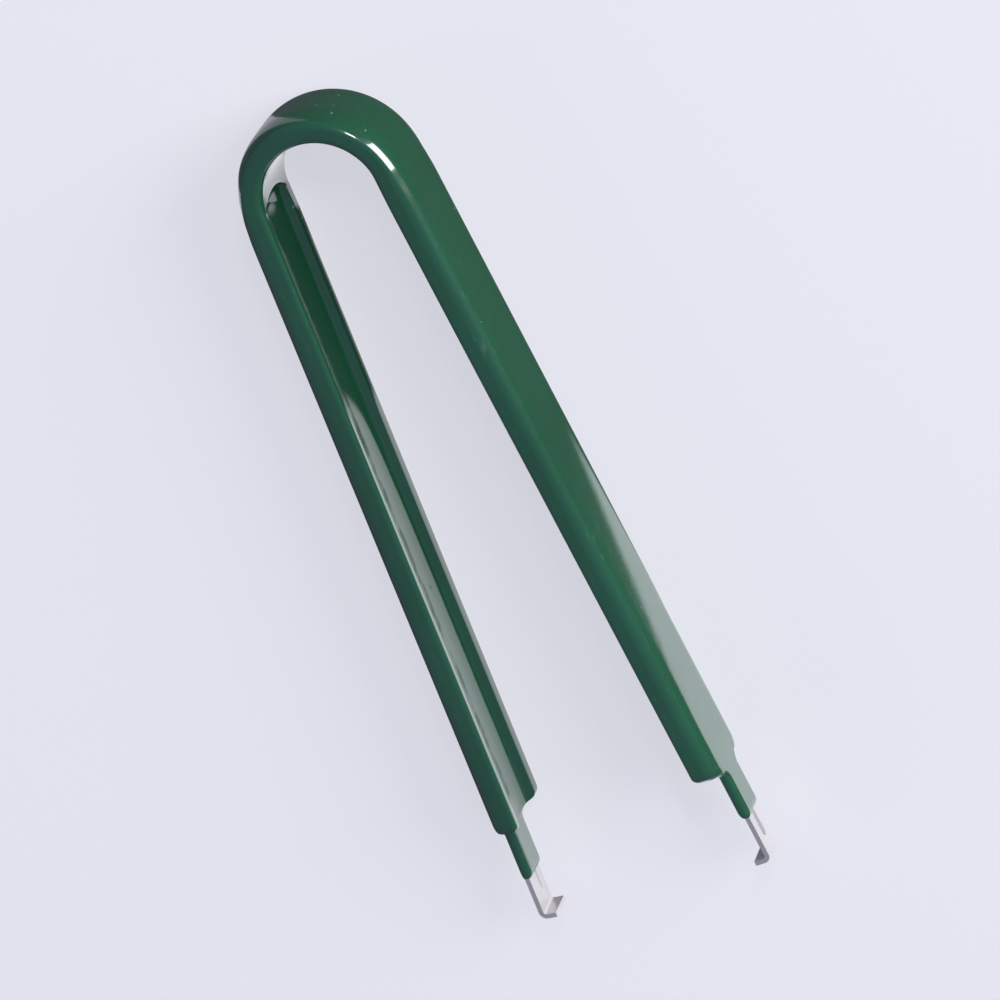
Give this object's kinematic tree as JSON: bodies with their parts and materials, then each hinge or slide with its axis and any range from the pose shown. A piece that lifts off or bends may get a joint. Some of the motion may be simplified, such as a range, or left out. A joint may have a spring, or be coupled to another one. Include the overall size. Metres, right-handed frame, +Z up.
{
  "type": "keyboard switch puller",
  "caption": "U-shaped switch puller: a folded spring steel strip with inward hooks at its tips, dipped in a glossy green grip coating that leaves the tips bare.",
  "frame": {"origin": "middle of the puller's outline, on the surface that it lies on", "axes": "+Z up, across the width of the arms; +Y towards the arch, with the hooked tips at -Y; X across the gap between the arms"},
  "size_m": [0.0314, 0.1082, 0.0108],
  "materials": {
    "steel": "bright stamped spring steel",
    "coating": "glossy dipped soft vinyl, dark green"
  },
  "bodies": {
    "root": {"steel_strip": "steel", "grip_coating": "coating"}
  },
  "joints": []
}
